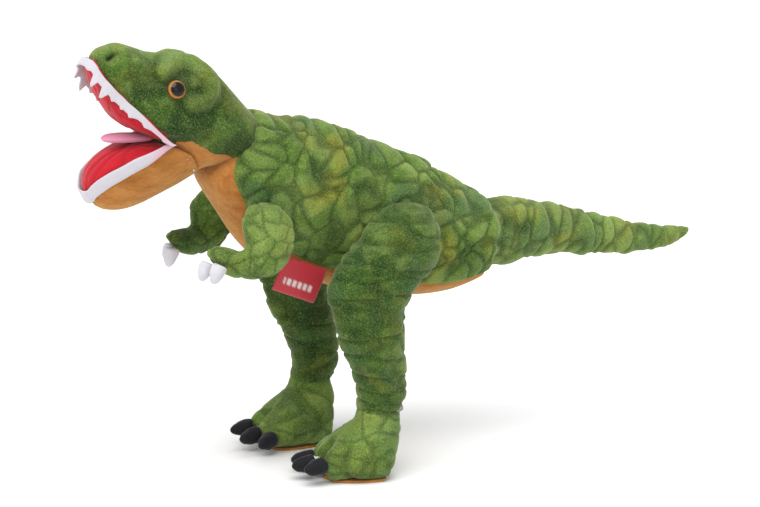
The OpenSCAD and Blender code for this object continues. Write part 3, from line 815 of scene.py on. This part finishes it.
# %% Felt strips
def felt_strip(node, name, body_name, corner_x):
    obj = own_copy(nodes[node], name)
    bm = bmesh.new()
    bm.from_mesh(obj.data)
    bmesh.ops.remove_doubles(bm, verts=bm.verts, dist=WELD)
    bmesh.ops.subdivide_edges(bm, edges=bm.edges, cuts=2, use_grid_fill=True)
    bm.to_mesh(obj.data)
    bm.free()
    use(obj, "BEVEL", width=0.25 * MM, segments=1, limit_method="ANGLE", angle_limit=math.radians(50))
    co = places(obj)
    x = co[:, 0] * 1000
    last = x.max()
    run_on = smooth_step(x, last - 22, last)
    ends = [v for v in co if v[0] * 1000 > last - 4]
    mid_z = np.mean([v[2] for v in ends])
    corner = np.array([corner_x, 0, 264]) * MM
    goal = np.column_stack([np.full(len(co), corner[0] - 0.3 * (last - x.max()) * MM), co[:, 1] * 1.03,
                            corner[2] + (co[:, 2] - mid_z) * 0.35])
    pull = run_on[:, None] ** 1.5
    moved = co * (1 - pull) + goal * pull
    moved[:, 0] = co[:, 0] + run_on * (corner_x - last) * MM
    wave = np.array([noise.noise_vector(Vector(p) * 90) for p in co]) * 0.5 * MM
    move_to(obj, moved + wave)
    store(obj, "blush", smooth_step(places(obj)[:, 0] * 1000, corner_x - 26, corner_x - 8) * 0.8)
    choose(obj)
    bpy.ops.object.shade_smooth_by_angle(angle=math.radians(40))
    obj.data.materials.clear()
    obj.data.materials.append(WHITE_FELT)
    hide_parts(node)
    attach(obj, body_name)
    print(name, len(obj.data.polygons), "faces")
    return obj


felt_strip("upper_gum", "upper_gum_and_teeth", "head", -203)
felt_strip("lower_gum", "lower_gum_and_teeth", "jaw", -202)

# %% [markdown]
# ## Tongue
# The tongue is a flat pad of pink felt with a round tip and a shallow line down its middle.

# %% Tongue
tongue = copy_node("tongue", "tongue_pad")
stuff(tongue, 1.6, 0, smooth=3)
refine(tongue)
co = places(tongue)
top = smooth_step(directions(tongue)[:, 2], 0, 0.5)
move_to(tongue, co + directions(tongue) * ((0.7 - top * 1.2 * bell(co[:, 1] * 1000, 1.6)) * MM)[:, None])
finish_cover(tongue, PINK_FELT, ["tongue"])
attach(tongue, "tongue")

# %% [markdown]
# ## Arms, legs and feet
# Each limb is its own stuffed cover. The legs carry level wrinkles where the cloth gathers, and
# the feet are pinched between three round toes.

# %% Limbs
def limb(name, cloths, line, cell, body_name, voxel=3.2, cap=3.0, depth=0.9,
         seed=0, turn=0.0, cool=0.5, warm=0.4, dusk=0.45, tone=0.0, pale=0.0, toes=None):
    obj = to_object(name, [outer_form(cloths, line)])
    stuff(obj, voxel, cap, smooth=5)
    refine(obj)
    co = places(obj)
    high = co[:, 2] * 1000
    if name.endswith("leg_cover"):
        inward = -np.sign(co[:, 1]) * smooth_step(high, 165, 208) * 9
        move_to(obj, co + np.outer(inward * MM, (0, 1, 0))
                - directions(obj) * (1.5 * (1 - smooth_step(high, 44, 58)) * MM)[:, None])
    if name.endswith("foot_cover"):
        move_to(obj, co + directions(obj) * (1.8 * smooth_step(high, 24, 38) * MM)[:, None])
    co = places(obj)
    edge = cells(co, cell, 0.3, turn, seed)
    crease = press(obj, edge, depth, 0.6)
    if toes:
        v = co[:, :2] * 1000 - np.array(toes[:2])
        ahead = math.degrees(1) * np.arctan2(-v[:, 0] * math.sin(toes[2]) - v[:, 1] * math.cos(toes[2]),
                                             -v[:, 0] * math.cos(toes[2]) + v[:, 1] * math.sin(toes[2]))
        reach = smooth_step(np.hypot(v[:, 0], v[:, 1]), 22, 40) * (1 - smooth_step(high, 26, 38))
        groove = (bell(ahead - 15, 3.6) + bell(ahead + 15, 3.6)) * reach
        swell = (bell(ahead, 8) + bell(ahead - 30, 8) + bell(ahead + 30, 8)) * reach
        move_to(obj, places(obj) + directions(obj) * ((1.4 * swell - 3.2 * groove) * MM)[:, None])
        crease = np.maximum(crease, groove * 0.8)
    if name.endswith("leg_cover"):
        crease = np.maximum(crease, 0.8 * bell(high - 47, 2.0))
    # Painted shade in the pressed grooves, between the toes and at the ankle seam.
    store(obj, "crease", crease * 0.8)
    store(obj, "cut", np.ones(len(co)))
    store(obj, "teal", smooth_step(blots(co, 36, seed + 2), 0.54, 0.74) * cool)
    store(obj, "yellow", smooth_step(blots(co, 26, seed + 5), 0.58, 0.76) * warm)
    # A floor of painted shade over the whole cover, with darker print blots on top.
    store(obj, "dusk", np.maximum(tone, smooth_step(blots(co, 30, seed + 7), 0.54, 0.74) * dusk))
    store(obj, "pale", np.full(len(co), pale))
    finish_cover(obj, PLUSH, [c for c in cloths if c.endswith("skin")])
    return obj


def node_line(node, count=5, axis=2):
    """Middles of slices through a node along one axis, in mm."""
    co = np.array([v.co for v in nodes[node].data.vertices]) * 1000
    lo, hi = co[:, axis].min(), co[:, axis].max()
    ends = np.linspace(lo, hi, count + 1)
    out = []
    for a, b in zip(ends, ends[1:]):
        part = co[(co[:, axis] >= a - 1) & (co[:, axis] <= b + 1)]
        out.append(tuple((part.min(0) + part.max(0)) / 2))
    return out


for side_name in ("left", "right"):
    seed = 1 if side_name == "left" else 5
    leg_line = node_line(f"{side_name}_leg_filling", 6)
    lowest = leg_line[0]
    leg_line = [(lowest[0] - 1, lowest[1], 38)] + leg_line
    # The legs are darkened all over with painted shade, and get more dark blots.
    leg = limb(f"{side_name}_leg_cover", [f"{side_name}_leg_skin"], leg_line, (60, 60, 13), side_name, seed=seed,
               turn=0.1, tone=0.42, dusk=0.75, depth=1.5)
    core_of(leg, f"{side_name}_leg_filling", f"{side_name}_leg", inset=5)
    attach(leg, f"{side_name}_leg")
    foot_line = [(lowest[0] - 36, lowest[1], 12), (lowest[0] - 14, lowest[1], 13), (lowest[0], lowest[1], 26),
                 (lowest[0], lowest[1], 50)]
    foot = limb(f"{side_name}_foot_cover", [f"{side_name}_foot_skin"], foot_line, (24, 24, 16), side_name,
                voxel=2.4, cap=1.5, depth=0.6, seed=seed + 2, warm=0.2, pale=0.35,
                toes=(lowest[0], lowest[1], math.radians(10 if lowest[1] > 0 else -10)))
    follow = (f"{side_name}_leg", f"{side_name}_foot", (lowest[0] * MM, 0, 0.052), (lowest[0] * MM, 0, 0.030))
    core_of(foot, f"{side_name}_foot_filling", *follow, inset=4)
    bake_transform(foot)

# %% [markdown]
# ## Arms
# The arms hang from the shoulders with the elbow bent and the hand turned in.

# %% Arm covers
for side_name in ("left", "right"):
    arm = copy_node(f"{side_name}_arm_filling", f"{side_name}_arm_cover")
    choose(arm)
    arm.data.remesh_voxel_size = 2.4 * MM
    bpy.ops.object.voxel_remesh()
    move_to(arm, places(arm) + directions(arm) * 2.6 * MM)
    stuff(arm, 2.6, 2.0, smooth=4, shrink=1.0)
    refine(arm)
    co = places(arm)
    inward = -np.sign(co[:, 1]) * smooth_step(co[:, 2] * 1000, 184, 216) * 14
    top = smooth_step(co[:, 2] * 1000, 196, 224)
    middle_x = co[co[:, 2] > 0.190][:, 0].mean()
    move_to(arm, co + np.outer(inward * MM, (0, 1, 0)) - np.outer((co[:, 0] - middle_x) * 0.55 * top ** 1.5, (1, 0, 0)))
    co = places(arm)
    seed = 3 if side_name == "left" else 8
    crease = press(arm, cells(co, (15, 24, 14), 0.3, 0, seed), 0.8, 0.6)
    # Painted shade in the pressed grooves.
    store(arm, "crease", crease * 0.8)
    store(arm, "cut", np.ones(len(co)))
    store(arm, "teal", smooth_step(blots(co, 30, seed), 0.56, 0.74) * 0.4)
    store(arm, "yellow", smooth_step(blots(co, 22, seed + 1), 0.58, 0.76) * 0.4)
    store(arm, "dusk", smooth_step(blots(co, 26, seed + 2), 0.52, 0.72) * 0.5)
    # Painted light: the left arm is paler than the right arm of the same cloth.
    store(arm, "pale", np.full(len(co), 0.4 if side_name == "left" else 0.0))
    finish_cover(arm, PLUSH, [f"{side_name}_arm_skin"])
    core_of(arm, f"{side_name}_arm_filling", f"{side_name}_arm")
    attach(arm, f"{side_name}_arm")

# %% [markdown]
# ## Claws and soles
# Claws are small stuffed cones. Each one gets a little unevenness and a seam line of painted shade,
# which only the black cloth shows, and is drawn slimmer and shorter than its imported solid. The sole
# patches are drawn smaller too.

# %% Claws
for node in [n for n in nodes if n.endswith("_claw")]:
    claw = copy_node(node, node.replace("_claw", "_claw_cover"))
    co = places(claw)
    toe = "_toe_" in node
    limb_name = node.split("_")[0] + ("_foot" if toe else "_arm")
    cover = bpy.data.objects[limb_name + "_cover"]
    cover_middle = places(cover).mean(0)
    tip = co[np.argmax(np.linalg.norm(co - cover_middle, axis=1))]
    heel = co[np.linalg.norm(co - tip, axis=1) > 0.75 * np.linalg.norm(co - tip, axis=1).max()].mean(0)
    back = (heel - tip) / np.linalg.norm(heel - tip)
    along = (co - tip) @ back
    grow = smooth_step(along, 0.55 * along.max(), along.max()) * (4.5 if toe else 5.0)
    move_to(claw, co + np.outer(grow * MM, back))
    stuff(claw, 1.5, 0, smooth=3)
    refine(claw)
    co = places(claw)
    lumps = np.array([noise.noise(Vector(p) * 160) for p in co])
    move_to(claw, co + directions(claw) * ((lumps * 0.7 + 0.4) * MM)[:, None])
    co = places(claw)
    along = (co - tip) @ back
    axis = tip + np.outer(along, back)
    slim = (0.80 if toe else 0.84) + 0.10 * smooth_step(along, 0, along.max())
    shorter = np.outer((along.max() - along) * (0.22 if toe else 0.28), back)
    middle = co[along > 0.5 * along.max()].mean(0)
    axis = axis + (middle - axis[along > 0.5 * along.max()].mean(0)) * 0.5
    move_to(claw, axis + (co - axis) * slim[:, None] + shorter)
    co = places(claw)
    middle_y = (co[:, 1].min() + co[:, 1].max()) / 2
    # Painted shade along the seam line, shown only by the black claw cloth.
    store(claw, "crease", bell((co[:, 1] - middle_y) * 1000, 0.8))
    finish_cover(claw, BLACK_CLAW if toe else WHITE_CLAW,
                 [node])
    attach(claw, limb_name)

# %% Soles
for side_name in ("left", "right"):
    sole = copy_node(f"{side_name}_sole", f"{side_name}_sole_patch")
    co = places(sole)
    middle = (co.min(0) + co.max(0)) / 2
    move_to(sole, middle + (co - middle) * (0.88, 0.88, 1))
    use(sole, "BEVEL", width=0.7 * MM, segments=2, limit_method="ANGLE", angle_limit=math.radians(50))
    store(sole, "cut", np.zeros(len(sole.data.vertices)))
    choose(sole)
    bpy.ops.object.shade_smooth_by_angle(angle=math.radians(40))
    sole.data.materials.clear()
    sole.data.materials.append(PLUSH)
    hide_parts(f"{side_name}_sole")
    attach(sole, f"{side_name}_foot")
    print(sole.name, "done")

# %% [markdown]
# ## Eyes
# A safety eye is a polished plastic dome on a ribbed shank. The dome is clear over an amber ring
# and a black pupil, so the finish has a thin coat of gloss over rings of colour.

# %% Eyes
def eye_finish():
    f = Finish("safety_eye")
    far = f.attribute("from_centre")
    rings = f.ramp(far, [(0.0, (0.003, 0.003, 0.004)), (0.72, (0.004, 0.003, 0.003)), (0.76, (0.16, 0.05, 0.01)),
                         (0.84, (0.50, 0.22, 0.03)), (0.95, (0.42, 0.15, 0.02)), (1.0, (0.05, 0.02, 0.005))])
    flecks = f.mix(f.ramp(f.noise(0.8, 3), [(0.35, (0, 0, 0)), (0.8, (0.5, 0.5, 0.5))]), rings, (0.01, 0.005, 0.002))
    mat = f.done(flecks, 0.25, None, gloss=0.15)
    f.shader.inputs["Coat Weight"].default_value = 0.4
    f.shader.inputs["Coat Roughness"].default_value = 0.03
    return mat


EYE = eye_finish()
EYE_RADIUS = 6.9
for side_name in ("left", "right"):
    disc = nodes[f"{side_name}_eye"]
    washer = nodes[f"{side_name}_eye_washer"]
    co = np.array([v.co for v in disc.data.vertices])
    wc = np.array([v.co for v in washer.data.vertices])
    axis = Vector(np.linalg.svd(wc - wc.mean(0), full_matrices=False)[2][2])
    if axis.dot(Vector(co.mean(0) - wc.mean(0))) < 0:
        axis = -axis
    depth = co @ np.array(axis)
    front = depth.max()
    rim = co[depth > front - 0.0035]
    centre = Vector((rim.min(0) + rim.max(0)) / 2)
    centre += axis * (front - centre.dot(axis))
    clear_choice()
    bpy.ops.mesh.primitive_uv_sphere_add(segments=48, ring_count=24, radius=EYE_RADIUS * MM, location=(0, 0, 0))
    eye = bpy.context.object
    eye.name = f"{side_name}_eye_dome"
    bpy.ops.object.mode_set(mode="EDIT")
    bpy.ops.mesh.select_all(action="SELECT")
    bpy.ops.mesh.bisect(plane_co=(0, 0, 0), plane_no=(0, 0, 1), use_fill=True, clear_inner=True)
    bpy.ops.mesh.select_all(action="SELECT")
    bpy.ops.transform.resize(value=(1, 1, 0.62))
    bpy.ops.object.mode_set(mode="OBJECT")
    flat = places(eye)
    store(eye, "from_centre", np.hypot(flat[:, 0], flat[:, 1]) / (EYE_RADIUS * MM))
    back = [f.index for f in eye.data.polygons if f.normal.z < -0.9]
    choose(eye)
    bpy.ops.object.mode_set(mode="EDIT")
    bpy.ops.mesh.select_all(action="DESELECT")
    bpy.ops.object.mode_set(mode="OBJECT")
    for number in back:
        eye.data.polygons[number].select = True
    bpy.ops.object.mode_set(mode="EDIT")
    bpy.ops.mesh.inset(thickness=5.0 * MM)
    bpy.ops.mesh.extrude_region_move(TRANSFORM_OT_translate={"value": (0, 0, -9 * MM)})
    bpy.ops.object.mode_set(mode="OBJECT")
    turn = axis.to_track_quat("Z", "Y").to_matrix().to_4x4()
    eye.data.transform(turn)
    eye.data.transform(Matrix.Translation(centre - axis * 4.6 * MM))
    choose(eye)
    bpy.ops.object.shade_smooth_by_angle(angle=math.radians(40))
    eye.data.materials.append(EYE)
    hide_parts(f"{side_name}_eye")
    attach(eye, "head")
    print(eye.name, "centre", [round(c * 1000, 1) for c in centre], "axis", [round(c, 2) for c in axis])

# %% [markdown]
# ## Side label
# A folded tape of woven satin is caught in the belly seam. Its front carries only a simple row of
# bars.

# %% Label
label_node = nodes["side_label"]
lo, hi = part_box("side_label")
co = np.array([v.co for v in label_node.data.vertices])
middle = co.mean(0)
_, _, vt = np.linalg.svd(co - middle)
across, down, thin = (Vector(v) for v in vt)
if across.x < 0:
    across = -across
if down.z > 0:
    down = -down
thin = across.cross(down)
if thin.y > 0:
    thin = -thin
half_w = max(abs((c - middle) @ np.array(across)) for c in co)
half_h = max(abs((c - middle) @ np.array(down)) for c in co)
clear_choice()
bpy.ops.mesh.primitive_grid_add(x_subdivisions=24, y_subdivisions=34, size=1)
label = bpy.context.object
label.name = "side_label_tape"
grid = places(label)
u, v = grid[:, 0] + 0.5, grid[:, 1] + 0.5
leaf = np.abs(v - 0.5) * 2
front = np.where(v < 0.5, 1.0, -1.0)
sag = 1.6 * np.sin(u * math.pi) * (1 - leaf) - 1.2 * (1 - leaf) ** 2
swell = 0.35 + 0.5 * np.sin(np.clip((1 - leaf) * math.pi, 0, math.pi))
spot = (np.outer((u - 0.5) * 2 * half_w, across) + np.outer(-half_h + (1 - leaf) * 2 * half_h, down)
        + np.outer((sag + front * swell) * MM, thin)) + middle
move_to(label, spot)
bars = (np.abs(leaf - 0.35) < 0.09) & (np.mod(u * 8, 1) < 0.55) & (u > 0.15) & (u < 0.85)
store(label, "motif", (bars & (v < 0.5)).astype(float))
use(label, "SOLIDIFY", thickness=0.3 * MM, offset=0)
choose(label)
bpy.ops.object.shade_smooth()
label.data.materials.append(TAPE)
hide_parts("side_label")
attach(label, "torso")
print("label", round(2000 * half_w, 1), "x", round(2000 * half_h, 1), "mm")

# %% [markdown]
# ## Filling and washers
# Each cover's fibre was made with the cover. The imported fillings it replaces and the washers
# behind the eyes don't show, but they are part of the toy, so they get their own finish as well.

# %% Hidden parts
for name, obj in nodes.items():
    if name.endswith("_filling") or name.endswith("_washer"):
        obj.data.materials.clear()
        obj.data.materials.append(FIBRE if name.endswith("_filling") else WASHER)
print("hidden parts finished")
